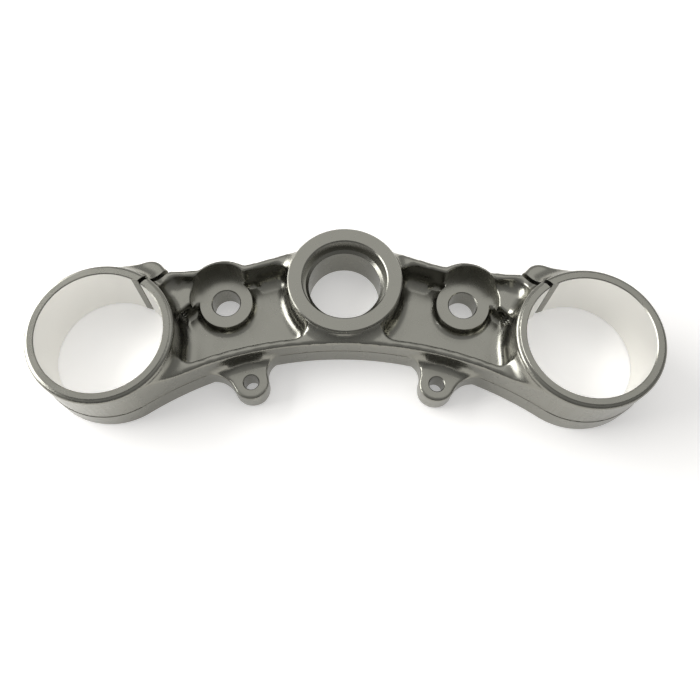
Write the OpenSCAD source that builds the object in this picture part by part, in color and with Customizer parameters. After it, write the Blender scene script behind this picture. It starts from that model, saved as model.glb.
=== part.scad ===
// Upper triple clamp of a motorcycle fork, machined from one aluminium forging.
// It lies on its flat face, with the pocketed face up. X runs from fork to fork,
// Y to the rear, and the origin is on the stem axis in the flat face.

/* [Fork rings] */
// Distance between the two fork axes
fork_spacing = 206.5; // [190:0.5:222]
// Distance of the stem axis behind the line through the fork axes
fork_offset = 29; // [26:0.5:32]
// Diameter of the bore for a fork tube
fork_bore_d = 54; // [50:0.5:56]
// Wall of a fork ring
ring_wall = 4.5; // [4:0.25:6]
// Height of a fork ring
ring_h = 30.5; // [28:0.5:34]
// Width of the flat lip round a fork bore
lip_w = 2.8; // [2:0.1:3.5]
// Drop from the lip to the rounded shoulder
lip_drop = 0.4; // [0.2:0.1:1]
// Concave fillet between a fork ring and the bridge
ring_fillet_r = 8; // [5:0.5:10]

/* [Pinch clamps] */
// Angle of the slit to the line through the fork axes
slit_angle = 46; // [40:1:52]
// Distance of the slit from the fork axis, to the side of the ear
slit_shift = 5.7; // [4:0.1:7]
// Width of the slit
slit_w = 2; // [1:0.1:3]
// Depth of the flat beside the mouth of the slit
mouth_depth = 0.7; // [0.4:0.1:1.2]
// Width of the flat beside the mouth of the slit
mouth_w = 3; // [2:0.1:4.5]
// Distance of the pinch bolt axis from the fork axis
pinch_reach = 33.3; // [32.5:0.1:35]
// Height of the pinch bolt axis
pinch_z = 11; // [9:0.5:12]
// Clearance hole of the pinch bolt
pinch_clear_d = 8.4; // [8.2:0.1:9]
// Tapping bore of the pinch bolt
pinch_tap_d = 6.8; // [6:0.1:7.2]
// Seat for the head of the pinch bolt
pinch_head_d = 14; // [12:0.5:15]
// Radius of the ear round the pinch bolt
ear_r = 6.6; // [6:0.1:8]
// Distance of the ear's centre from the slit
ear_out = 4.6; // [4:0.1:6]
// Length of the threaded side, from the slit to its face in the pocket
thread_len = 17; // [14:0.5:19]

/* [Stem boss] */
// Outer diameter of the stem boss
boss_d = 50.8; // [48:0.2:54]
// Height of the stem boss
boss_h = 24; // [22:0.5:27]
// Diameter of the counterbore in the boss
counterbore_d = 37.5; // [35:0.5:40]
// Depth of the counterbore
counterbore_depth = 5.7; // [4:0.1:8]
// Inner diameter of the counterbore's ledge
ledge_d = 35; // [34:0.2:36.5]
// Diameter of the stem bore
stem_bore_d = 32.4; // [30:0.2:33.4]

/* [Bridge] */
// Height of the bridge at its middle
bridge_h = 19.6; // [18:0.2:21]
// Rise of the bridge's top towards each fork, as an angle
bridge_rise = 4; // [2:0.25:6]
// Distance of the front edge before the stem axis, at the middle
bridge_front = 29; // [27:0.5:31]
// Width of the front rim
front_rim = 3.8; // [3:0.1:5]
// Greatest height of the rear rim and of the ears
rear_h = 22; // [20.5:0.25:24]
// Width of the rear rim
rear_rim = 3.2; // [2.6:0.1:4]
// Rounding of the front rim's outer edge
rim_round = 2.2; // [1:0.1:3]
// Height of the milled step line round the outside
step_z = 11; // [8:0.5:14]
// Depth of the milled step
step_depth = 0.25; // [0.1:0.05:0.5]
// Thickness of the floor under the pockets
floor_t = 6; // [5:0.25:8]
// Fillet along the pocket floor
floor_fillet = 4; // [2:0.25:5]
// Fillet along the shelf over the pinch thread
shelf_fillet = 4; // [2:0.25:4.5]
// Radius in the pocket's corners
corner_r = 6; // [4:0.25:7]
// Half width of the solid web in front of the stem boss
web_half = 17.2; // [14:0.2:19]
// Height of the shallow pocket's floor over the pinch thread
shelf_z = 17.2; // [16:0.2:18.5]

/* [Handlebar seats] */
// Distance between the two handlebar clamp holes
seat_spacing = 107; // [100:0.5:112]
// Distance of the handlebar clamp holes before the stem axis
seat_front = 6.8; // [4:0.2:9]
// Height of a seat's face
seat_z = 11.8; // [10:0.2:14]
// Diameter of a seat
seat_d = 24; // [22:0.5:26]
// Bore for a handlebar clamp bolt
seat_hole_d = 12.6; // [11:0.1:14]
// Diameter of the spotface round a seat
spotface_d = 28; // [27:0.5:30]
// Shift of the spotface from the seat, outwards and to the rear
spotface_shift = 1.3; // [0.5:0.1:2]
// Wall behind a spotface
bump_wall = 1.8; // [1.6:0.1:3]

/* [Front lugs] */
// Distance between the holes of the two front lugs
lug_spacing = 80.8; // [76:0.4:86]
// Distance of a lug's hole before the front edge of the bridge's middle
lug_reach = 15.1; // [14:0.1:17]
// Radius of a lug's end
lug_r = 7.8; // [6.5:0.1:9]
// Hole in a lug
lug_hole_d = 6.6; // [5.5:0.1:7.5]
// Fillet between a lug's top and the wall above it
lug_fillet = 4; // [2:0.25:5]

/* [Hidden] */
$fn = 96;
finish = [0.40, 0.40, 0.37];
eps = 0.05;
overlap = 0.04;
bury = 1.5;
edge = 0.5;
ring_r = fork_bore_d / 2 + ring_wall;
fork = [fork_spacing / 2, -fork_offset];
shoulder_r = ring_wall - lip_w - 0.1;
crown = -bridge_front;
crown_lead = fork.y - crown;
// The arch of the front edge touches both fork rings.
arch_r = (pow(fork.x, 2) + pow(crown_lead, 2) - pow(ring_r, 2)) / (2 * (ring_r - crown_lead));
arch_c = [0, crown - arch_r];
boss_r = boss_d / 2;
seat = [seat_spacing / 2, -seat_front];
spot_r = spotface_d / 2;
spot = seat + [spotface_shift, spotface_shift * 0.6];
bump_r = norm(spot - seat) + spot_r + bump_wall - 0.75;
lug = [lug_spacing / 2, crown - lug_reach];
along = 180 - slit_angle;
slit_dir = [cos(along), sin(along)];
bolt_dir = [cos(along + 90), sin(along + 90)];
slit_far = pinch_reach + ear_r + 1.1;
ear = fork + slit_dir * (slit_far - ear_r) - bolt_dir * (slit_shift + ear_out);
jaw = fork + slit_dir * slit_far - bolt_dir * slit_shift;
rear_side = jaw.y - 0.1;
rear_slope = 0.367;
rear_root = 16.1;
rear_blend = 8;
top = ring_h + 10;
near = corner_r - overlap;
front_r = arch_r + front_rim;
ring_corner = cross_at(arch_c, front_r + near, fork, ring_r + near, 1);
web_corner = [web_half + near, arch_c.y + sqrt(pow(front_r + near, 2) - pow(web_half + near, 2))];
rear_y = rear_line(boss_r + corner_r) - rear_rim - 0.6;
rear_corner = [sqrt(pow(boss_r + near, 2) - pow(rear_y - near, 2)), rear_y - near];
slit_y = rear_side - rear_rim;
slit_corner = [fork.x - sqrt(pow(ring_r + near, 2) - pow(slit_y - near - fork.y, 2)), slit_y - near];
// The pocket's rounded corners: centre, both ends of the arc, and a point behind it.
corners = [
    [ring_corner, toward(ring_corner, fork, corner_r), toward(ring_corner, arch_c, corner_r),
        cross_at(arch_c, front_r - 0.5, fork, ring_r - 0.5, 1)],
    [web_corner, web_corner - [corner_r, 0], toward(web_corner, arch_c, corner_r),
        [web_half - 1, web_corner.y - corner_r - 1]],
    [rear_corner, toward(rear_corner, [0, 0], corner_r), rear_corner + [0, corner_r],
        [boss_r * 0.8, rear_y + 1]],
    [slit_corner, toward(slit_corner, fork, corner_r), slit_corner + [0, corner_r],
        fork + [-ring_r * 0.3, ring_r + 0.5]]
];

function cross_at(a, ra, b, rb, side) =
    let (d = norm(b - a))
    let (x = (ra * ra - rb * rb + d * d) / (2 * d))
    let (y = sqrt(ra * ra - x * x))
    let (u = (b - a) / d)
    a + u * x + [-u.y, u.x] * y * side;

function bore_x(y) = sqrt(pow(fork_bore_d / 2, 2) - y * y);

function toward(a, b, length) = a + (b - a) * length / norm(b - a);

function rear_line(x) = rear_root - rear_slope * (x - boss_r * 0.885);

function bridge_top(x) = bridge_h + max(0, x - web_half) * tan(bridge_rise);

module both_sides() {
    children();
    mirror([1, 0, 0])
        children();
}

module disc(place, r) {
    translate(place)
        circle(r);
}

module post(place, r, z0, z1) {
    translate([place.x, place.y, z0])
        cylinder(h = z1 - z0, r = r);
}

// Fills the hollow corner between two walls, round a circle that touches both.
module hollow_corner(centre, r, touch_a, touch_b, root) {
    difference() {
        polygon([touch_a, centre, touch_b, root]);
        disc(centre, r);
    }
}

// Chamfer of a round mouth that opens upwards at height z.
module mouth_chamfer(place, r, z, c = edge) {
    translate([place.x, place.y, z - c])
        cylinder(h = c + eps, r1 = r, r2 = r + c + eps);
}

// Chamfer of a round mouth in the flat underside.
module under_chamfer(place, r, c = edge) {
    translate([place.x, place.y, -eps])
        cylinder(h = c + eps, r1 = r + c + eps, r2 = r);
}

// Profile of a concave fillet in the corner at the origin, with both arms buried.
module fillet_profile(r, deep = bury) {
    centre = r - overlap;
    difference() {
        translate([-deep, -deep])
            square(centre + deep);
        translate([centre, centre])
            circle(r);
    }
}

// Fork ring and its ear, joined along their outer tangent.
module clamp_outline(grow) {
    r1 = ring_r + grow;
    r2 = ear_r + grow;
    line = ear - fork;
    lean = atan2(line.y, line.x);
    spread = acos((r1 - r2) / norm(line));
    outer = lean - spread;
    inner = lean + spread;
    disc(fork, r1);
    disc(ear, r2);
    polygon([
        fork,
        fork + r1 * [cos(outer), sin(outer)],
        ear + r2 * [cos(outer), sin(outer)],
        ear,
        jaw + slit_dir * grow,
        fork + slit_dir * (ring_r - 3) - bolt_dir * slit_shift
    ]);
}

// Bridge between the rings, without its lugs.
module bridge_outline(grow) {
    disc([0, 0], boss_r + grow);
    both_sides()
        rear_hollow(grow);
    both_sides()
        disc(seat, bump_r + grow);
    difference() {
        both_sides()
            polygon([
                [-eps, arch_c.y + arch_r * 0.5],
                [fork.x, arch_c.y + arch_r * 0.5],
                fork,
                fork + slit_dir * (ring_r - 2),
                [jaw.x, rear_side + grow],
                [seat.x + bump_r * 0.5, rear_side + 0.6 + grow],
                [seat.x - bump_r * 0.5, rear_line(seat.x - bump_r * 0.5) + grow],
                [boss_r * 0.5, rear_line(boss_r * 0.5) + grow],
                [-eps, rear_line(boss_r * 0.5) + grow]
            ]);
        disc(arch_c, arch_r - grow + eps);
        // Nothing of the bridge lies before the rings.
        both_sides()
            translate([fork.x - ring_r * 0.6, fork.y - ring_r * 4])
                square([ring_r * 2, ring_r * 3.2 - eps]);
    }
}

// Blend between the stem boss and the rear side.
module rear_hollow(grow) {
    r = rear_blend - grow;
    reach = boss_r + grow + r - overlap;
    steep = sqrt(1 + rear_slope * rear_slope);
    a = rear_line(0) + grow + (r - overlap) * steep;
    root = sqrt(pow(a * rear_slope, 2) - pow(steep, 2) * (a * a - reach * reach));
    x = (a * rear_slope + root) / pow(steep, 2);
    c = [x, a - rear_slope * x];
    hollow_corner(c, r, toward(c, [0, 0], r), c - [rear_slope, 1] * r / steep, [boss_r * 0.7, 12]);
}

module outline(grow = 0) {
    bridge_outline(grow);
    both_sides()
        clamp_outline(grow);
}

module lug_outline() {
    inner_r = 7.5;
    outer_r = 11;
    disc(lug, lug_r);
    for (side = [[1, outer_r], [-1, inner_r]]) {
        r = side[1];
        c = cross_at(arch_c, arch_r - r + overlap, lug, lug_r + r - overlap, -side[0]);
        hollow_corner(c, r, toward(lug, c, lug_r), toward(arch_c, c, arch_r),
            toward(arch_c, lug, arch_r + 3));
    }
    polygon([
        lug - [lug_r * 0.6, 0],
        lug + [lug_r * 0.6, 0],
        toward(arch_c, lug + [lug_r * 0.6, 0], arch_r + 2),
        toward(arch_c, lug - [lug_r * 0.6, 0], arch_r + 2)
    ]);
}

// Plan of the deep pocket on one side, with rounded corners. It stops at the ring, and
// runs under the boss, whose own solid gives that wall.
module pocket_outline() {
    difference() {
        polygon([
            [web_half, arch_c.y + arch_r],
            [fork.x - ring_r * 0.6, arch_c.y + arch_r - 30],
            [fork.x - ring_r * 0.6, slit_y],
            [seat.x + 4, slit_y + 0.6],
            [seat.x - 8, rear_line(seat.x - 8) - rear_rim],
            [rear_corner.x, rear_y],
            [web_half, rear_y]
        ]);
        disc(fork, ring_r);
        disc([0, 0], boss_r - bury);
        disc(arch_c, front_r);
        for (c = corners)
            hollow_corner(c[0], corner_r, c[1], c[2], c[3]);
    }
}

// Fillet along the floor, round the inside of a rounded corner.
module corner_floor(c, z, r) {
    intersection() {
        translate([0, 0, z - 1])
            linear_extrude(r + 2)
                polygon([c[1], c[0], c[2], c[3]]);
        translate([c[0].x, c[0].y, z])
            rotate_extrude()
                translate([corner_r, 0])
                    mirror([1, 0])
                        fillet_profile(r);
    }
}

// The part of the pocket that stays shallow, over the pinch thread.
module shelf_outline() {
    translate(fork)
        rotate(along)
            translate([0, -slit_shift + 2.5])
                square([ring_r * 2, thread_len - 2.5]);
}

module clamp_frame() {
    translate([fork.x, fork.y, 0])
        rotate(along)
            children();
}

// Solid body of the bridge and the lugs, before its pockets.
module bridge_block() {
    difference() {
        union() {
            linear_extrude(step_z)
                outline(step_depth);
            linear_extrude(ring_h)
                outline();
        }
        difference() {
            hollow_top();
            both_sides()
                ring_flare(bridge_top(fork.x - ring_r - ring_fillet_r) - 0.15);
        }
        both_sides() {
            lip_steps();
            rear_top();
        }
    }
    both_sides() {
        linear_extrude(step_z)
            lug_outline();
        lug_root();
    }
}

// What is cut away over the bridge, which is lowest across its middle.
module hollow_top() {
    reach = fork.x * 1.5;
    translate([0, fork.x, 0])
        rotate([90, 0, 0])
            linear_extrude(2 * fork.x)
                polygon([
                    [-reach, top],
                    [-reach, bridge_top(reach)],
                    [-web_half, bridge_h],
                    [web_half, bridge_h],
                    [reach, bridge_top(reach)],
                    [reach, top]
                ]);
}

// Fillet between the top of a lug and the wall above it.
module lug_root() {
    intersection() {
        translate([0, 0, step_z - 1])
            linear_extrude(lug_fillet + 1)
                lug_outline();
        translate([arch_c.x, arch_c.y, step_z])
            rotate([0, 0, 90 - atan2(lug.x, lug.y - arch_c.y) - 6])
                rotate_extrude(angle = 12)
                    translate([arch_r, 0])
                        mirror([1, 0])
                            fillet_profile(lug_fillet, 0.6);
    }
}

// What stays standing of a fork ring, with a concave fillet that ends at height z.
module ring_flare(z) {
    centre_z = z + ring_fillet_r;
    translate([fork.x, fork.y, 1])
        rotate_extrude()
            difference() {
                square([ring_r + ring_fillet_r * 0.97, 2 * top]);
                translate([ring_r + ring_fillet_r, centre_z - 1])
                    circle(ring_fillet_r);
                translate([ring_r + 0.5, centre_z - 1])
                    square([ring_fillet_r, 2 * top]);
            }
}

// What is cut away over the rear rim and the ears.
module rear_top() {
    difference() {
        translate([web_half + 0.5, fork.y + ring_r * 0.7, rear_h])
            cube([fork.x, fork.x, top]);
        ring_flare(rear_h - 0.2);
    }
}

// The step and the rounded shoulder outside a fork ring's lip, as cut away.
module lip_steps() {
    shoulder_z = ring_h - lip_drop;
    lip_r = fork_bore_d / 2 + lip_w;
    middle = [ring_r - shoulder_r, shoulder_z - shoulder_r];
    translate([fork.x, fork.y, 0])
        rotate_extrude()
            difference() {
                translate([lip_r, middle.y])
                    square([ring_fillet_r, ring_h]);
                translate([lip_r - 1, middle.y - 1])
                    square([middle.x - lip_r + 1, shoulder_z - middle.y + 1]);
                translate(middle)
                    circle(shoulder_r);
            }
}

// Deep pocket, shelf and spotface, as cut away.
module pocket_void() {
    difference() {
        union() {
            translate([0, 0, floor_t])
                linear_extrude(top)
                    difference() {
                        pocket_outline();
                        shelf_outline();
                    }
            translate([0, 0, shelf_z])
                linear_extrude(top)
                    intersection() {
                        pocket_outline();
                        shelf_outline();
                    }
        }
        post(seat, seat_d / 2, 0, seat_z);
        floor_fillets();
        shelf_fillets();
    }
    post(spot, spot_r, seat_z, top);
}

// Concave fillets where the pocket floor meets its walls.
module floor_fillets() {
    translate([fork.x, fork.y, floor_t])
        rotate_extrude(angle = 90, start = 120)
            translate([ring_r, 0])
                fillet_profile(floor_fillet);
    translate([arch_c.x, arch_c.y, floor_t])
        rotate_extrude(angle = 24, start = 62)
            translate([arch_r + front_rim, 0])
                fillet_profile(floor_fillet);
    translate([0, 0, floor_t])
        rotate_extrude(angle = 100, start = -60)
            translate([boss_r, 0])
                fillet_profile(floor_fillet);
    translate([seat.x, seat.y, floor_t])
        rotate_extrude()
            translate([seat_d / 2, 0])
                fillet_profile(floor_fillet * 0.6);
    corner_floor(corners[0], floor_t, floor_fillet);
    corner_floor(corners[1], floor_t, floor_fillet);
}

// The shelf is dished: fillets run up to the ring, the rear rim and their corner.
module shelf_fillets() {
    intersection() {
        translate([0, 0, shelf_z - 1])
            linear_extrude(shelf_fillet + 2)
                shelf_outline();
        union() {
            translate([fork.x, fork.y, shelf_z])
                rotate_extrude(angle = 60, start = 110)
                    translate([ring_r, 0])
                        fillet_profile(shelf_fillet);
            translate([seat.x, slit_y, shelf_z])
                rotate([90, 0, 90])
                    linear_extrude(slit_corner.x - seat.x + 0.5)
                        mirror([1, 0])
                            fillet_profile(shelf_fillet - 0.25);
            corner_floor(corners[3], shelf_z, shelf_fillet);
        }
    }
}

// Rounds the outer edge of the front rim: level across the middle, then along the rise,
// and last it runs out before the ring.
module rim_rounding() {
    start = acos(web_half / arch_r);
    turn = asin(web_half / arch_r);
    out_x = arch_r * cos(start - 15);
    out_rise = bridge_rise + 8;
    translate([0, arch_c.y, bridge_h])
        rotate_extrude(angle = 2 * turn, start = start)
            rim_profile();
    both_sides()
        translate([web_half, arch_c.y, bridge_h])
            rotate([0, -bridge_rise, 0])
                translate([-web_half, 0, 0])
                    rotate_extrude(angle = 15.02, start = start - 15)
                        rim_profile();
    both_sides()
        translate([out_x, arch_c.y, bridge_top(out_x)])
            rotate([0, -out_rise, 0])
                translate([-out_x, 0, 0])
                    rotate_extrude(angle = 6.02, start = start - 21)
                        rim_profile();
}

module rim_profile() {
    translate([arch_r, 0])
        difference() {
            translate([-3, -rim_round])
                square([3 + rim_round, rim_round + 1.5]);
            translate([rim_round, -rim_round])
                circle(rim_round);
        }
}

module stem_bores() {
    ledge_z = boss_h - counterbore_depth;
    bevel = (ledge_d - stem_bore_d) / 2;
    post([0, 0], stem_bore_d / 2, -1, top);
    translate([0, 0, ledge_z - bevel])
        cylinder(h = bevel + eps, d1 = stem_bore_d, d2 = ledge_d + 2 * eps);
    post([0, 0], counterbore_d / 2, ledge_z, top);
    mouth_chamfer([0, 0], counterbore_d / 2, boss_h);
    under_chamfer([0, 0], stem_bore_d / 2);
}

// Fork bore, slit, the flat at its mouth and the pinch bolt's holes.
module clamp_cuts() {
    slit_face = -slit_shift - slit_w / 2;
    bore_r = fork_bore_d / 2;
    post(fork, bore_r, -1, top);
    under_chamfer(fork, bore_r);
    clamp_frame() {
        translate([bore_r * 0.8, slit_face, -1])
            cube([ring_r, slit_w, top]);
        translate([0, 0, -1])
            linear_extrude(top)
                polygon([
                    [bore_r * 0.7, slit_face + 0.5],
                    [bore_r * 0.7, slit_face - mouth_w],
                    [bore_x(slit_face - mouth_w) - 0.1, slit_face - mouth_w],
                    [bore_x(slit_face) + mouth_depth, slit_face],
                    [bore_x(slit_face) + mouth_depth, slit_face + 0.5]
                ]);
        translate([pinch_reach, slit_face + eps, pinch_z])
            rotate([90, 0, 0])
                cylinder(h = slit_far, d = pinch_clear_d);
        translate([pinch_reach, slit_face + slit_w - eps, pinch_z])
            rotate([-90, 0, 0])
                cylinder(h = thread_len + 6, d = pinch_tap_d);
        translate([pinch_reach, slit_face - ear_out - 3, pinch_z])
            rotate([90, 0, 0])
                cylinder(h = slit_far, d = pinch_head_d);
    }
}

// The bridge with its rim, pockets and seats.
module bridge() {
    difference() {
        bridge_block();
        rim_rounding();
        both_sides()
            pocket_void();
    }
}

module yoke() {
    color(finish)
        difference() {
            union() {
                bridge();
                post([0, 0], boss_r - edge, 0, boss_h);
                post([0, 0], boss_r, 0, boss_h - edge);
            }
            both_sides() {
                clamp_cuts();
                post(seat, seat_hole_d / 2, -1, top);
                mouth_chamfer(seat, seat_hole_d / 2, seat_z, 0.4);
                under_chamfer(seat, seat_hole_d / 2);
                post(lug, lug_hole_d / 2, -1, top);
                mouth_chamfer(lug, lug_hole_d / 2, step_z, 0.4);
            }
            stem_bores();
        }
}

yoke();
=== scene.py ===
"""Upper triple clamp of a motorcycle fork: one aluminium forging, milled, blasted and anodised dark
grey, with the two fork bores machined bare afterwards. It lies on its flat face on a pale floor."""

import math

import bmesh
import bpy
import numpy as np
import openvdb
from bpy.props import FloatProperty, FloatVectorProperty, PointerProperty
from mathutils import Matrix, Vector


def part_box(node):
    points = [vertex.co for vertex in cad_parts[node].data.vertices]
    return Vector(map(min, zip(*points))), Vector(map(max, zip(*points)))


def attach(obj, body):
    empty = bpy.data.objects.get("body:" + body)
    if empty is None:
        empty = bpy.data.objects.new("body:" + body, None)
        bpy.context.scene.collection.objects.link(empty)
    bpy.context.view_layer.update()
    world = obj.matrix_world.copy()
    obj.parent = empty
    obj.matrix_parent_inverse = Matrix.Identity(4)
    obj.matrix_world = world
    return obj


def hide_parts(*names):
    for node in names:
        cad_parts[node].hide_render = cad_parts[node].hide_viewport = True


bl_info = {
    "name": "Motorcycle triple clamp",
    "version": (1, 0, 0),
    "blender": (4, 5, 0),
    "location": "3D View > Sidebar > Triple clamp",
    "description": "Dresses the packed triple clamp in anodised aluminium with bare fork bores",
    "category": "Object",
}

MM = 0.001

# Loaded first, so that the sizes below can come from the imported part.
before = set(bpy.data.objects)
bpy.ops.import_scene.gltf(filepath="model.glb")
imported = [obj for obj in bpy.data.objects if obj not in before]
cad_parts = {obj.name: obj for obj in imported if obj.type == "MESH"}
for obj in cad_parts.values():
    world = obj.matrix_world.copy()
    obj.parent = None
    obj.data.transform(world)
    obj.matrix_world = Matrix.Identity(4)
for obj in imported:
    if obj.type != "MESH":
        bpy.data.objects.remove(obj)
FLOOR_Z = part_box("yoke")[0].z
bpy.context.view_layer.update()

# Sizes and places of the machined features, from the part's source, in millimetres.
FORK = (103.25, -29.0)
BORE_R = 27.0
RING_R = 31.5
RING_H = 30.5
LIP_R = 29.8
LIP_DROP = 0.4
SHOULDER_R = 1.6
STEP_Z = 11.0
STEP = 0.25
BOSS_R = 25.4
BOSS_H = 24.0
STEM_BORE_R = 16.2
LEDGE_R = 17.5
LEDGE_Z = 18.3
COUNTERBORE_R = 18.75
SEAT = (53.5, -6.8)
SEAT_R = 12.0
SEAT_Z = 11.8
SEAT_HOLE_R = 6.3
SPOT = (54.8, -6.02)
SPOT_R = 14.0
LUG = (40.4, -44.1)
LUG_HOLE_R = 3.3
SLIT_ANGLE = 134.0
SLIT_SHIFT = 5.7
SLIT_W = 2.0
SLIT_FAR = 41.0
MOUTH_DEPTH = 0.7
MOUTH_W = 3.0
PINCH_REACH = 33.3
PINCH_Z = 11.0
PINCH_CLEAR_R = 4.2
PINCH_HEAD_R = 7.0
PINCH_SEAT = 14.3
THREAD_ROOT_R = 4.0
THREAD_CREST_R = 3.4
THREAD_PITCH = 1.25
THREAD_FLANK = 3.2
REAR_H = 22.0
# The front edge is an arc that touches both fork rings.
CROWN = -29.0
ARCH_R = (FORK[0] ** 2 + (FORK[1] - CROWN) ** 2 - RING_R**2) / (2 * (RING_R - FORK[1] + CROWN))
ARCH_CENTRE = (0.0, CROWN - ARCH_R)
ARCH_HALF = math.degrees(math.atan2(FORK[0], FORK[1] - ARCH_CENTRE[1])) + 0.2
# The outside of the right-hand ring, as angles from the front edge round to the ear.
RING_FROM = -123.5
RING_TO = 71.3

# Chamfers at the rims of the machined holes and faces.
LOW_CHAMFER = 0.5
BORE_CHAMFER = 0.35
HOLE_CHAMFER = 0.4
BOSS_CHAMFER = 0.5
FOOT_CHAMFER = 0.3
SEAT_CHAMFER = 0.2
LIP_CHAMFER = 0.12
BAND_CHAMFER = 0.15

# Grid step of the distance field that rounds the blasted edges, and how many triangles it keeps.
STEP_MM = 0.5
FIELD_TRIANGLES = 150000
# The blasted body stands a hair inside its true faces, and a little more within reach of a
# machined face, so that the crisp solids added later cover it.
HAIR = 0.03
RECESS = 0.12
RECESS_REACH = 1.5
OUT_OF_REACH = 9.0
# Radii of edges and corners where the metal is thin or was milled later.
THIN_EDGE = 0.35
THIN_CORNER = 1.5
# How far the added solids sink into the body, and how high the cutters reach.
SUNK = 3.0
OVER = 45.0

# The camera that was fitted to the photograph, for an image 700 pixels wide.
CAMERA_PLACE = (-2.941, -146.236, 312.983)
CAMERA_PITCH = 0.37109
CAMERA_YAW = 0.01730
CAMERA_ROLL = -0.00652
FOCAL_PX = 731.935
IMAGE_PX = 700
CENTRE_SHIFT_PX = 17.159


def linear(hex_colour, alpha=1.0):
    """Turns an sRGB hex colour into the linear values that Blender's shaders take."""
    channels = [int(hex_colour[i : i + 2], 16) / 255 for i in (1, 3, 5)]
    flat = [c / 12.92 if c <= 0.04045 else ((c + 0.055) / 1.055) ** 2.4 for c in channels]
    return (*flat, alpha)


def add_node(tree, kind, settings=None, **links):
    """Adds a shader node. Settings are its own options, or its inputs by name; links feed inputs by name."""
    node = tree.nodes.new(kind)
    for name, value in (settings or {}).items():
        if hasattr(node, name):
            setattr(node, name, value)
        else:
            node.inputs[name].default_value = value
    for name, source in links.items():
        tree.links.new(source, node.inputs[name.replace("_", " ")])
    return node


def new_material(name):
    """Makes an empty node material and returns it with its tree and its output."""
    material = bpy.data.materials.new(name)
    material.use_nodes = True
    tree = material.node_tree
    tree.nodes.clear()
    return material, tree, tree.nodes.new("ShaderNodeOutputMaterial")


def anodised_aluminium(look):
    """Hard-anodised aluminium, bead-blasted before the bath: a satin grey skin whose soft sheen spreads
    each highlight, with a faint cloudiness where the blasting was uneven."""
    material, tree, output = new_material("Anodised aluminium, bead-blasted")
    place = add_node(tree, "ShaderNodeNewGeometry").outputs["Position"]
    # Cloudiness about 9 mm across.
    cloud = add_node(tree, "ShaderNodeTexNoise", {"Scale": 1 / (9 * MM), "Detail": 3.0}, Vector=place)
    rough = add_node(
        tree,
        "ShaderNodeMapRange",
        {
            "From Min": 0.3,
            "From Max": 0.7,
            "To Min": look.anodised_roughness - 0.03,
            "To Max": look.anodised_roughness + 0.03,
        },
        Value=cloud.outputs["Fac"],
    )
    # Blast grain is 0.1 mm; it is drawn at 0.35 mm so that it shows.
    grain = add_node(tree, "ShaderNodeTexNoise", {"Scale": 1 / (0.35 * MM), "Detail": 2.0}, Vector=place)
    skin = add_node(
        tree,
        "ShaderNodeBump",
        {"Strength": 0.02, "Distance": 0.02 * MM},
        Height=grain.outputs["Fac"],
    )
    shader = add_node(
        tree,
        "ShaderNodeBsdfPrincipled",
        {"Base Color": (*look.anodised_colour, 1.0), "Metallic": 1.0},
        Roughness=rough.outputs["Result"],
        Normal=skin.outputs["Normal"],
    )
    tree.links.new(shader.outputs["BSDF"], output.inputs["Surface"])
    return material


def bare_aluminium(look):
    """Aluminium bored and honed after anodising: bright bare metal, with fine rings of the tool that
    stretch each reflection along the bore."""
    material, tree, output = new_material("Bare aluminium, bored")
    place = add_node(tree, "ShaderNodeNewGeometry").outputs["Position"]
    # Tool feed is 0.08 mm a turn; it is drawn at 0.5 mm so that it shows.
    rings = add_node(
        tree, "ShaderNodeMapping", {"Scale": (1 / (12 * MM), 1 / (12 * MM), 1 / (0.5 * MM))}, Vector=place
    )
    feed = add_node(tree, "ShaderNodeTexNoise", {"Scale": 1.0, "Detail": 2.0}, Vector=rings.outputs["Vector"])
    ridges = add_node(
        tree, "ShaderNodeBump", {"Strength": 0.25, "Distance": 0.02 * MM}, Height=feed.outputs["Fac"]
    )
    shader = add_node(
        tree,
        "ShaderNodeBsdfPrincipled",
        {"Base Color": (*look.bare_colour, 1.0), "Metallic": 1.0, "Roughness": look.bare_roughness},
        Normal=ridges.outputs["Normal"],
    )
    tree.links.new(shader.outputs["BSDF"], output.inputs["Surface"])
    return material


def pale_floor(look):
    """Smooth white board: it shows pure white around the part and keeps the part's soft shadow."""
    material, tree, output = new_material("White board, coated")
    rays = add_node(tree, "ShaderNodeLightPath")
    seen = rays.outputs["Is Camera Ray"]
    for kind in ("Is Glossy Ray", "Is Transmission Ray"):
        either = add_node(tree, "ShaderNodeMath", {"operation": "MAXIMUM"})
        tree.links.new(seen, either.inputs[0])
        tree.links.new(rays.outputs[kind], either.inputs[1])
        seen = either.outputs["Value"]
    lift = add_node(tree, "ShaderNodeMath", {"operation": "MULTIPLY"})
    tree.links.new(seen, lift.inputs[0])
    lift.inputs[1].default_value = look.floor_lift
    board = add_node(tree, "ShaderNodeBsdfDiffuse", {"Color": (*look.floor_colour, 1.0)})
    white = (1.0, 1.0, 1.0, 1.0)
    glow = add_node(tree, "ShaderNodeEmission", {"Color": white}, Strength=lift.outputs["Value"])
    both = add_node(tree, "ShaderNodeAddShader")
    tree.links.new(board.outputs["BSDF"], both.inputs[0])
    tree.links.new(glow.outputs["Emission"], both.inputs[1])
    tree.links.new(both.outputs["Shader"], output.inputs["Surface"])
    return material


def distance_field(points, faces, reach):
    """Distance to a closed surface on a grid, in millimetres, negative inside it."""
    sides = {"triangles": faces} if faces.shape[1] == 3 else {"quads": faces}
    return openvdb.FloatGrid.createLevelSetFromPolygons(
        points,
        transform=openvdb.createLinearTransform(STEP_MM),
        halfWidth=reach / STEP_MM + 3,
        **sides,
    )


def rolled(points, faces, outside_r, inside_r):
    """Rounds outer edges to one radius and inner corners to another, as a rolling ball would."""
    shrunk = distance_field(points, faces, outside_r).convertToQuads(-outside_r)
    grown = distance_field(*shrunk, outside_r + inside_r).convertToQuads(outside_r + inside_r)
    return distance_field(*grown, inside_r)


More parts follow.
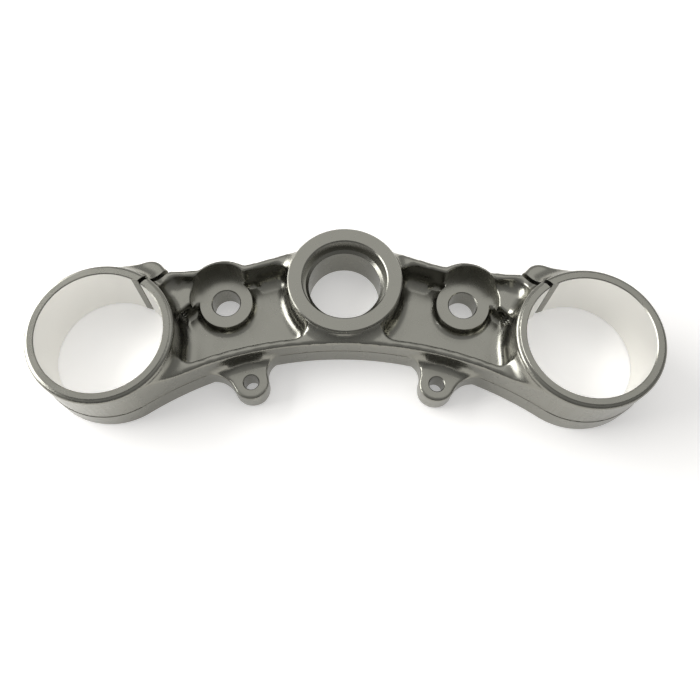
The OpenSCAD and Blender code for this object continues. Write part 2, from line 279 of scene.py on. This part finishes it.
def as_array(grid, low, shape, offset=0.0):
    """The grid's values in a box of cells, moved by an offset."""
    values = np.full(shape, grid.background, np.float32)
    grid.copyToArray(values, ijk=low)
    return values + offset


def as_surface(values, low, background):
    """Points and quads of the surface where an array of distances is zero."""
    grid = openvdb.FloatGrid(background)
    grid.copyFromArray(np.ascontiguousarray(values, np.float32), ijk=low)
    grid.transform = openvdb.createLinearTransform(STEP_MM)
    grid.gridClass = openvdb.GridClass.LEVEL_SET
    return grid.convertToQuads(0.0)


def points_and_triangles(mesh):
    """A mesh's points in millimetres and its triangles, as arrays."""
    points = np.zeros(len(mesh.vertices) * 3, np.float32)
    mesh.vertices.foreach_get("co", points)
    mesh.calc_loop_triangles()
    faces = np.zeros(len(mesh.loop_triangles) * 3, np.int32)
    mesh.loop_triangles.foreach_get("vertices", faces)
    return (points.reshape(-1, 3) / MM).astype(np.float32), faces.reshape(-1, 3).astype(np.uint32)


def clamp_axes(side):
    """Directions along the slit and along the pinch bolt, for the clamp on one side."""
    a = math.radians(SLIT_ANGLE)
    return Vector((side * math.cos(a), math.sin(a), 0)), Vector((-side * math.sin(a), math.cos(a), 0))


def soft_body(source, look):
    """The clamp's blasted surfaces, with every machined hole still filled, in millimetres."""
    first = distance_field(*points_and_triangles(source), 2.0)
    low, high = first.evalActiveVoxelBoundingBox()
    shape = [b - a + 1 for a, b in zip(low, high)]
    x, y, z = ((np.arange(n, dtype=np.float32) + start) * STEP_MM for n, start in zip(shape, low))
    x, y, z = np.abs(x)[:, None, None], y[None, :, None], z[None, None, :]

    def reach(place):
        return np.hypot(x - place[0], y - place[1])

    def cylinder(place, r, z0, z1):
        return np.maximum(reach(place) - r, np.maximum(z0 - z, z - z1))

    along, across = clamp_axes(1)
    u = (x - FORK[0]) * along.x + (y - FORK[1]) * along.y
    v = (x - FORK[0]) * across.x + (y - FORK[1]) * across.y + SLIT_SHIFT
    slit = np.maximum(np.abs(v) - SLIT_W / 2 - 0.3, np.maximum(20.0 - u, u - SLIT_FAR + 0.3))
    slit = np.maximum(slit, np.maximum(-z, z - REAR_H))
    bolt = np.maximum(np.hypot(u - PINCH_REACH, z - PINCH_Z) - PINCH_CLEAR_R - 0.2, np.abs(v) - 8.0)
    filled = as_array(first, low, shape)
    for plug in (
        cylinder(FORK, LIP_R - 0.2, 0.0, RING_H),
        cylinder((0.0, 0.0), BOSS_R - 1.0, 0.0, BOSS_H),
        cylinder(SEAT, SEAT_HOLE_R + 0.6, 0.0, SEAT_Z),
        cylinder(LUG, LUG_HOLE_R + 0.6, 0.0, STEP_Z),
        slit,
        bolt,
    ):
        filled = np.minimum(filled, plug)
    raw = as_surface(filled, low, first.background)
    edge, corner = look.edge_radius / MM, look.corner_radius / MM
    wide = as_array(rolled(*raw, edge, corner), low, shape, corner)
    thin = as_array(rolled(*raw, THIN_EDGE, THIN_CORNER), low, shape, THIN_CORNER)
    # The walls behind the spotfaces are thin, so they keep the smaller radii.
    # So do the lugs, whose flat tops were milled after blasting.
    from_spot = reach(SPOT) - SPOT_R - 3.0
    from_lug = reach((LUG[0], LUG[1] - 3.0)) - 11.0
    soft = np.clip(np.minimum(from_spot, from_lug) / 3.0, 0.0, 1.0)
    soft = soft * soft * (3 - 2 * soft)
    # Machined faces: the boss's top, the rings' tops and outsides, and the seats' sides.
    beside_boss = np.abs(reach((0.0, 0.0)) - BOSS_R) + OUT_OF_REACH * (z < BOSS_H - 1.4)
    turn = np.degrees(np.arctan2(y - FORK[1], x - FORK[0]))
    pocket_side = (turn < RING_FROM + 2.0) | (turn > RING_TO - 2.0)
    beside_ring = np.abs(reach(FORK) - RING_R) + OUT_OF_REACH * (pocket_side & (z < RING_H - 2.4))
    beside_seat = np.abs(reach(SEAT) - SEAT_R) + OUT_OF_REACH * (z > SEAT_Z - 1.5)
    beside = np.minimum(np.minimum(beside_boss, beside_ring), beside_seat)
    blasted = thin + (wide - thin) * soft + HAIR + RECESS * np.clip(RECESS_REACH - beside, 0.0, 1.0)
    # Open above the boss, whose top is added later.
    blasted = np.maximum(blasted, -cylinder((0.0, 0.0), BOSS_R + 2.0, BOSS_H - 1.6, BOSS_H + 9.0))
    # A hair over size on the floor of the spotfaces, so that their cutter leaves it flat.
    below = blasted[:, :, int(round((SEAT_Z - 1.5) / STEP_MM)) - low[2]] < -0.8
    on_floor = below[:, :, None] & (reach(SPOT) < SPOT_R) & (np.abs(z - SEAT_Z) < 0.8)
    return as_surface(blasted - 0.13 * on_floor, low, first.background)


def solid_mesh(name, points, faces):
    """Mesh of a closed solid from points in millimetres, with its faces turned outwards."""
    mesh = bpy.data.meshes.new(name)
    mesh.from_pydata([tuple(c * MM for c in point) for point in points], [], faces)
    sorted_out = bmesh.new()
    sorted_out.from_mesh(mesh)
    bmesh.ops.recalc_face_normals(sorted_out, faces=sorted_out.faces)
    sorted_out.to_mesh(mesh)
    sorted_out.free()
    return mesh


def turned(name, profile, place, segments=160):
    """Solid turned round a vertical axis. The profile runs from the axis back to the axis."""
    points = [(place[0], place[1], profile[0][1]), (place[0], place[1], profile[-1][1])]
    rows = []
    for r, z in profile[1:-1]:
        rows.append(len(points))
        for i in range(segments):
            a = 2 * math.pi * i / segments
            points.append((place[0] + r * math.cos(a), place[1] + r * math.sin(a), z))
    faces = []
    for i in range(segments):
        j = (i + 1) % segments
        faces.append((0, rows[0] + i, rows[0] + j))
        faces.append((1, rows[-1] + j, rows[-1] + i))
        for a, b in zip(rows, rows[1:]):
            faces.append((a + i, b + i, b + j, a + j))
    return solid_mesh(name, points, faces)


def ring_solid(name, profile, place, start=0.0, end=360.0, segments=160):
    """Solid ring, or a part of one, turned round a vertical axis from a closed profile."""
    whole = end - start >= 360.0
    steps = max(8, int(segments * (end - start) / 360))
    rows = steps if whole else steps + 1
    points, faces = [], []
    for i in range(rows):
        a = math.radians(start + (end - start) * i / steps)
        points += [(place[0] + r * math.cos(a), place[1] + r * math.sin(a), z) for r, z in profile]
    n = len(profile)
    for i in range(steps):
        j = (i + 1) % rows
        for k in range(n):
            m = (k + 1) % n
            faces.append((i * n + k, j * n + k, j * n + m, i * n + m))
    if not whole:
        faces += [tuple(range(n)), tuple(range(steps * n, steps * n + n))]
    return solid_mesh(name, points, faces)


def bar(name, start, end, across, z0, z1):
    """Upright prism from its plan: start and end of its middle line, and its width."""
    line = (end - start).normalized()
    side = Vector((-line.y, line.x, 0)) * across / 2
    plan = [start + side, start - side, end - side, end + side]
    points = [(p.x, p.y, z) for z in (z0, z1) for p in plan]
    faces = [(0, 1, 2, 3), (4, 5, 6, 7)] + [(i, (i + 1) % 4, (i + 1) % 4 + 4, i + 4) for i in range(4)]
    return solid_mesh(name, points, faces)


def front_band():
    """The lower half of the front wall, which stands a little proud of the upper half."""
    r = ARCH_R - STEP
    foot = 0.4
    profile = [
        (r, foot),
        (r, STEP_Z - BAND_CHAMFER),
        (r + BAND_CHAMFER, STEP_Z),
        (r + SUNK, STEP_Z),
        (r + SUNK, foot),
    ]
    points, faces = [], []
    steps, n = 120, len(profile)
    for i in range(steps + 1):
        a = math.radians(90 - ARCH_HALF + 2 * ARCH_HALF * i / steps)
        way = (math.cos(a), math.sin(a))
        points += [(ARCH_CENTRE[0] + d * way[0], ARCH_CENTRE[1] + d * way[1], z) for d, z in profile]
    for i in range(steps):
        for k in range(n):
            m = (k + 1) % n
            faces.append((i * n + k, (i + 1) * n + k, (i + 1) * n + m, i * n + m))
    faces += [tuple(range(n)), tuple(range(steps * n, steps * n + n))]
    return solid_mesh("front_band", points, faces)


def mouth_flat(name, fork, along, across):
    """Cut of the flat beside the mouth of the slit, where the bore is relieved."""
    face = -SLIT_SHIFT - SLIT_W / 2
    plan = [
        (BORE_R * 0.7, face + 0.5),
        (BORE_R * 0.7, face - MOUTH_W),
        (math.sqrt(BORE_R**2 - (face - MOUTH_W) ** 2) - 0.1, face - MOUTH_W),
        (math.sqrt(BORE_R**2 - face**2) + MOUTH_DEPTH, face),
        (math.sqrt(BORE_R**2 - face**2) + MOUTH_DEPTH, face + 0.5),
    ]
    corners = [fork + along * u + across * v for u, v in plan]
    n = len(corners)
    points = [(c.x, c.y, z) for z in (-1.0, OVER) for c in corners]
    faces = [tuple(range(n)), tuple(range(n, 2 * n))]
    faces += [(i, (i + 1) % n, (i + 1) % n + n, i + n) for i in range(n)]
    return solid_mesh(name, points, faces)


def bolt_hole(name, start, direction, length, radius, segments=48, rows=1):
    """Round hole along a direction. The radius is a function of height and angle, so it can be a thread."""
    up = Vector((0, 0, 1))
    side = direction.cross(up)
    points, faces = [tuple(start), tuple(start + direction * length)], []
    for k in range(rows + 1):
        h = length * k / rows
        for i in range(segments):
            a = 2 * math.pi * i / segments
            r = radius(h, a)
            points.append(tuple(start + direction * h + (side * math.cos(a) + up * math.sin(a)) * r))
    for i in range(segments):
        j = (i + 1) % segments
        faces.append((0, 2 + i, 2 + j))
        faces.append((1, 2 + rows * segments + j, 2 + rows * segments + i))
        for k in range(rows):
            a, b = 2 + k * segments, 2 + (k + 1) * segments
            faces.append((a + i, b + i, b + j, a + j))
    return solid_mesh(name, points, faces)


def thread_radius(h, angle):
    """Radius of the tapped hole: a 60 degree thread, flat at its crest."""
    turn = (h / THREAD_PITCH - angle / (2 * math.pi)) % 1.0
    depth = min(1.0, max(0.0, 1.25 - abs(turn - 0.5) * THREAD_FLANK))
    return THREAD_CREST_R + (THREAD_ROOT_R - THREAD_CREST_R) * depth


def ring_top_profile():
    """Top of a fork ring: a flat lip, a small drop and a rounded shoulder."""
    inner, foot = BORE_R - 0.5, RING_H - 2.3
    middle_r, middle_z = RING_R - SHOULDER_R, RING_H - LIP_DROP - SHOULDER_R
    shoulder = [
        (middle_r + SHOULDER_R * math.sin(a), middle_z + SHOULDER_R * math.cos(a))
        for a in (math.radians(15 * i) for i in range(7))
    ]
    return [
        (inner, foot),
        (RING_R, foot),
        *reversed(shoulder),
        (LIP_R, RING_H - LIP_DROP),
        (LIP_R, RING_H - LIP_CHAMFER),
        (LIP_R - LIP_CHAMFER, RING_H),
        (inner, RING_H),
    ]


def ring_wall_profile():
    """Outside wall of a fork ring, with the step half way down."""
    inner, head = RING_R - SUNK, RING_H - 2.1
    return [
        (inner, 0.0),
        (RING_R + STEP - FOOT_CHAMFER, 0.0),
        (RING_R + STEP, FOOT_CHAMFER),
        (RING_R + STEP, STEP_Z - STEP),
        (RING_R, STEP_Z),
        (RING_R, head),
        (inner, head),
    ]


def boss_profile():
    """Top of the stem boss, with a crisp rim."""
    foot, collar = BOSS_H - 5.0, BOSS_H - 1.3
    return [
        (0, foot),
        (BOSS_R - 1, foot),
        (BOSS_R - 1, collar),
        (BOSS_R, collar),
        (BOSS_R, BOSS_H - BOSS_CHAMFER),
        (BOSS_R - BOSS_CHAMFER, BOSS_H),
        (0, BOSS_H),
    ]


def stem_bore_profile():
    """Cutter of the stem bore, its coned ledge and its counterbore."""
    return [
        (0, -1),
        (STEM_BORE_R + LOW_CHAMFER + 1, -1),
        (STEM_BORE_R, LOW_CHAMFER),
        (STEM_BORE_R, LEDGE_Z - LEDGE_R + STEM_BORE_R),
        (LEDGE_R, LEDGE_Z),
        (COUNTERBORE_R, LEDGE_Z),
        (COUNTERBORE_R, BOSS_H - BOSS_CHAMFER),
        (COUNTERBORE_R + 1, BOSS_H - BOSS_CHAMFER + 1),
        (COUNTERBORE_R + 1, OVER),
        (0, OVER),
    ]


def seat_profile():
    """A handlebar seat, a hair too high, so that the spotface's cutter leaves it flat."""
    high = 0.05
    return [
        (0, 1),
        (SEAT_R, 1),
        (SEAT_R, SEAT_Z - SEAT_CHAMFER),
        (SEAT_R - SEAT_CHAMFER - high, SEAT_Z + high),
        (0, SEAT_Z + high),
    ]


def hole_profile(r, top, top_chamfer, low_chamfer=LOW_CHAMFER):
    """Cutter of an upright hole through the clamp, chamfered at its rims."""
    low_rim = [(r + low_chamfer + 1, -1), (r, low_chamfer)] if low_chamfer else [(r, -1)]
    high_rim = [(r, top - top_chamfer), (r + 1, top - top_chamfer + 1), (r + 1, OVER)]
    return [(0, -1), *low_rim, *high_rim, (0, OVER)]


def machined_solids():
    """Faces cut after blasting or kept crisp: those that add metal, then those that take it away."""
    adds = [turned("boss", boss_profile(), (0, 0)), front_band()]
    cuts = [turned("stem_bore", stem_bore_profile(), (0, 0))]
    spot_r = SPOT_R + RECESS
    spotface = [(0, SEAT_Z), (spot_r, SEAT_Z), (spot_r, OVER), (0, OVER)]
    for side, end in ((1, "right"), (-1, "left")):
        fork = Vector((side * FORK[0], FORK[1], 0))
        seat = (side * SEAT[0], SEAT[1])
        spot = (side * SPOT[0], SPOT[1])
        lug = (side * LUG[0], LUG[1])
        along, across = clamp_axes(side)
        sweep = (RING_FROM, RING_TO) if side == 1 else (180 - RING_TO, 180 - RING_FROM)
        slit = fork - across * SLIT_SHIFT
        pinch = slit + along * PINCH_REACH + Vector((0, 0, PINCH_Z))
        head = pinch - across * (PINCH_SEAT - SLIT_SHIFT)
        adds += [
            ring_solid(f"ring_top_{end}", ring_top_profile(), fork),
            ring_solid(f"ring_wall_{end}", ring_wall_profile(), fork, *sweep),
            turned(f"seat_{end}", seat_profile(), seat, 96),
        ]
        cuts += [
            turned(f"spotface_{end}", spotface, spot, 96),
            turned(f"fork_bore_{end}", hole_profile(BORE_R, RING_H, BORE_CHAMFER), fork),
            turned(f"seat_hole_{end}", hole_profile(SEAT_HOLE_R, SEAT_Z, HOLE_CHAMFER), seat, 64),
            turned(f"lug_hole_{end}", hole_profile(LUG_HOLE_R, STEP_Z, HOLE_CHAMFER, 0), lug, 48),
            bar(f"slit_{end}", slit + along * 20, slit + along * (SLIT_FAR + 6), SLIT_W, -1, OVER),
            mouth_flat(f"mouth_{end}", fork, along, across),
            bolt_hole(f"clearance_{end}", pinch, -across, 25, lambda h, a: PINCH_CLEAR_R),
            bolt_hole(f"head_seat_{end}", head, -across, 25, lambda h, a: PINCH_HEAD_R, 64),
            bolt_hole(f"thread_{end}", pinch, across, 22.5, thread_radius, 40, 126),
        ]
    return adds, cuts


def with_steps(context, name, mesh, steps, triangles=None):
    """Applies solids to a mesh one after another, and thins it first where triangles are given.

    Each step is a solid and UNION or DIFFERENCE."""
    body = bpy.data.objects.new(name, mesh)
    context.scene.collection.objects.link(body)
    if triangles:
        thinned = body.modifiers.new("thinned", "DECIMATE")
        thinned.ratio = triangles / (2 * len(mesh.polygons))
    tools = []
    for solid, operation in steps:
        tool = bpy.data.objects.new(solid.name, solid)
        context.scene.collection.objects.link(tool)
        tools.append(tool)
        step = body.modifiers.new(solid.name, "BOOLEAN")
        step.object = tool
        step.operation = operation
        step.solver = "MANIFOLD"
    context.view_layer.update()
    made = bpy.data.meshes.new_from_object(body.evaluated_get(context.evaluated_depsgraph_get()))
    for tool in tools:
        bpy.data.meshes.remove(tool.data)
    bpy.data.objects.remove(body)
    return made


def joined(context, solids):
    """One closed mesh from several solids that may overlap."""
    return with_steps(context, "joined", solids[0], [(solid, "UNION") for solid in solids[1:]])


def in_fork_bores(mesh):
    """For each face of the mesh, whether it is on the wall of a fork bore."""
    count = len(mesh.polygons)
    middle, normal = np.zeros(count * 3, np.float32), np.zeros(count * 3, np.float32)
    mesh.polygons.foreach_get("center", middle)
    mesh.polygons.foreach_get("normal", normal)
    middle, normal = middle.reshape(-1, 3) / MM, normal.reshape(-1, 3)
    from_x = middle[:, 0] - np.sign(middle[:, 0]) * FORK[0]
    from_y = middle[:, 1] - FORK[1]
    reach = np.hypot(from_x, from_y)
    inward = -(normal[:, 0] * from_x + normal[:, 1] * from_y) / reach
    return (np.abs(reach - BORE_R) < 0.1) & (inward > 0.995)


class ClampSettings(bpy.types.PropertyGroup):
    """Finish of the triple clamp."""

    edge_radius: FloatProperty(
        name="Edge radius",
        description="Rounding of the outer edges of rims, lugs and ears",
        default=1.2 * MM,
        min=0.0005,
        max=0.0015,
        subtype="DISTANCE",
        unit="LENGTH",
    )
    corner_radius: FloatProperty(
        name="Corner radius",
        description="Rounding of the inner corners of the pockets",
        default=5.2 * MM,
        min=0.001,
        max=0.006,
        subtype="DISTANCE",
        unit="LENGTH",
    )
    anodised_colour: FloatVectorProperty(
        name="Anodised colour",
        description="Colour of the anodised skin",
        default=linear("#8b8a82")[:3],
        size=3,
        min=0.0,
        max=1.0,
        subtype="COLOR",
    )
    anodised_roughness: FloatProperty(
        name="Anodised roughness",
        description="How far the blasted skin spreads a highlight",
        default=0.27,
        min=0.05,
        max=1.0,
        subtype="FACTOR",
    )
    bare_colour: FloatVectorProperty(
        name="Bare metal colour",
        description="Colour of the bored metal",
        default=linear("#f0efea")[:3],
        size=3,
        min=0.0,
        max=1.0,
        subtype="COLOR",
    )
    bare_roughness: FloatProperty(
        name="Bare metal roughness",
        description="How far the bored metal spreads a highlight",
        default=0.32,
        min=0.05,
        max=1.0,
        subtype="FACTOR",
    )


class StageSettings(bpy.types.PropertyGroup):
    """Floor and light."""

    floor_size: FloatProperty(
        name="Floor size",
        description="Side of the square floor",
        default=3.0,
        min=0.5,
        subtype="DISTANCE",
        unit="LENGTH",
    )
    floor_colour: FloatVectorProperty(
        name="Floor colour",
        description="Colour of the board that the part lies on",
        default=linear("#f4f2ef")[:3],
        size=3,
        min=0.0,
        max=1.0,
        subtype="COLOR",
    )
    floor_lift: FloatProperty(
        name="Floor lift",
        description="Light that the board adds where the camera and reflections see it",
        default=0.34,
        min=0.0,
        max=1.0,
    )
    sky_front: FloatProperty(
        name="Room light in front",
        description="Strength of the room's light from the camera's side",
        default=0.2,
        min=0.0,
    )
    sky_back: FloatProperty(
        name="Room light behind",
        description="Strength of the room's light from behind and above",
        default=0.5,
        min=0.0,
    )
    window_power: FloatProperty(
        name="Window light",
        description="Power of the large soft lamp on the left",
        default=23.0,
        min=0.0,
        unit="POWER",
    )
    panel_power: FloatProperty(
        name="Panel light",
        description="Power of the soft panel overhead",
        default=3.4,
        min=0.0,
        unit="POWER",
    )


class TRIPLECLAMP_OT_body(bpy.types.Operator):
    """Build the clamp's body: soft blasted forms, crisp machined faces and bare fork bores"""

    bl_idname = "tripleclamp.body"
    bl_label = "Clamp body"

    def execute(self, context):
        look = context.scene.triple_clamp
        points, faces = soft_body(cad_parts["yoke"].data, look)
        mesh = bpy.data.meshes.new("triple_clamp_body")
        # The field's faces come wound inwards.
        mesh.from_pydata(points * MM, [], faces[:, ::-1])
        adds, cuts = machined_solids()
        steps = [(joined(context, adds), "UNION"), (joined(context, cuts), "DIFFERENCE")]
        mesh = with_steps(context, "blasted", mesh, steps, FIELD_TRIANGLES)
        mesh.name = "triple_clamp_body"
        mesh.validate()
        body = bpy.data.objects.new("triple_clamp_body", mesh)
        context.scene.collection.objects.link(body)
        mesh.materials.clear()
        mesh.materials.append(anodised_aluminium(look))
        mesh.materials.append(bare_aluminium(look))
        bare = in_fork_bores(mesh)
        if not bare.any():
            raise RuntimeError("no face of a fork bore was found on the clamp")
        mesh.polygons.foreach_set("material_index", bare.astype(np.int32))
        mesh.shade_smooth()
        mesh.set_sharp_from_angle(angle=math.radians(32))
        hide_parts("yoke")
        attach(body, "root")
        return {"FINISHED"}


class TRIPLECLAMP_OT_stage(bpy.types.Operator):
    """Lay the floor, light it and set the camera as in the photograph"""

    bl_idname = "tripleclamp.stage"
    bl_label = "Stage"

    def execute(self, context):
        look = context.scene.triple_clamp_stage
        half = look.floor_size / 2
        board = bpy.data.meshes.new("floor")
        board.from_pydata(
            [(x * half, y * half, FLOOR_Z) for x, y in ((-1, -1), (1, -1), (1, 1), (-1, 1))],
            [],
            [(0, 1, 2, 3)],
        )
        floor = bpy.data.objects.new("floor", board)
        floor.data.materials.append(pale_floor(look))
        context.scene.collection.objects.link(floor)
        self.light(context, look)
        self.camera(context)
        return {"FINISHED"}

    def light(self, context, look):
        """A plain room, darker in front, a window on the left and a soft panel overhead."""
        world = bpy.data.worlds.new("Room")
        context.scene.world = world
        world.use_nodes = True
        tree = world.node_tree
        tree.nodes.clear()
        output = tree.nodes.new("ShaderNodeOutputWorld")
        way = add_node(tree, "ShaderNodeTexCoord").outputs["Generated"]
        back = add_node(tree, "ShaderNodeVectorMath", {"operation": "DOT_PRODUCT"})
        tree.links.new(way, back.inputs[0])
        back.inputs[1].default_value = (0.0, 0.8, 0.6)
        level = add_node(
            tree,
            "ShaderNodeMapRange",
            {"From Min": -0.6, "From Max": 0.7, "To Min": look.sky_front, "To Max": look.sky_back},
            Value=back.outputs["Value"],
        )
        white = (1.0, 1.0, 1.0, 1.0)
        room = add_node(tree, "ShaderNodeBackground", {"Color": white}, Strength=level.outputs["Result"])
        tree.links.new(room.outputs["Background"], output.inputs["Surface"])
        for name, place, width, height, power in (
            ("window", (-1.0, 0.3, 0.45), 1.3, 0.9, look.window_power),
            ("panel", (0.1, 0.65, 1.3), 1.8, 1.0, look.panel_power),
        ):
            lamp = bpy.data.lights.new(name, "AREA")
            lamp.shape = "RECTANGLE"
            lamp.size = width
            lamp.size_y = height
            lamp.energy = power
            lit = bpy.data.objects.new(name, lamp)
            lit.location = place
            lit.rotation_euler = (-lit.location).to_track_quat("-Z", "Y").to_euler()
            context.scene.collection.objects.link(lit)

    def camera(self, context):
        """The fitted camera, looking down on the clamp from the front."""
        lens = bpy.data.cameras.new("camera")
        lens.sensor_width = 36.0
        lens.lens = 36.0 * FOCAL_PX / IMAGE_PX
        lens.shift_x = CENTRE_SHIFT_PX / IMAGE_PX
        lens.clip_start = 0.01
        lens.clip_end = 20.0
        camera = bpy.data.objects.new("camera", lens)
        turn = (
            Matrix.Rotation(CAMERA_YAW, 4, "Z")
            @ Matrix.Rotation(CAMERA_PITCH, 4, "X")
            @ Matrix.Rotation(CAMERA_ROLL, 4, "Z")
        )
        camera.matrix_world = Matrix.Translation(Vector(CAMERA_PLACE) * MM) @ turn
        context.scene.collection.objects.link(camera)
        context.scene.camera = camera
        context.scene.view_settings.view_transform = "Standard"


class TRIPLECLAMP_PT_panel(bpy.types.Panel):
    """Sidebar panel of the triple clamp"""

    bl_label = "Triple clamp"
    bl_idname = "TRIPLECLAMP_PT_panel"
    bl_space_type = "VIEW_3D"
    bl_region_type = "UI"
    bl_category = "Triple clamp"

    def draw(self, context):
        layout = self.layout
        for title, group, operator in (
            ("Body", context.scene.triple_clamp, "tripleclamp.body"),
            ("Stage", context.scene.triple_clamp_stage, "tripleclamp.stage"),
        ):
            box = layout.box()
            box.label(text=title)
            for name in group.bl_rna.properties.keys():
                if name not in {"rna_type", "name"}:
                    box.prop(group, name)
            box.operator(operator)


CLASSES = (
    ClampSettings,
    StageSettings,
    TRIPLECLAMP_OT_body,
    TRIPLECLAMP_OT_stage,
    TRIPLECLAMP_PT_panel,
)


def register():
    for item in CLASSES:
        bpy.utils.register_class(item)
    bpy.types.Scene.triple_clamp = PointerProperty(type=ClampSettings)
    bpy.types.Scene.triple_clamp_stage = PointerProperty(type=StageSettings)


def unregister():
    del bpy.types.Scene.triple_clamp_stage
    del bpy.types.Scene.triple_clamp
    for item in reversed(CLASSES):
        bpy.utils.unregister_class(item)


def main():
    """Builds the clamp and its stage."""
    register()
    bpy.ops.tripleclamp.body()
    bpy.ops.tripleclamp.stage()


if __name__ == "__main__":
    main()
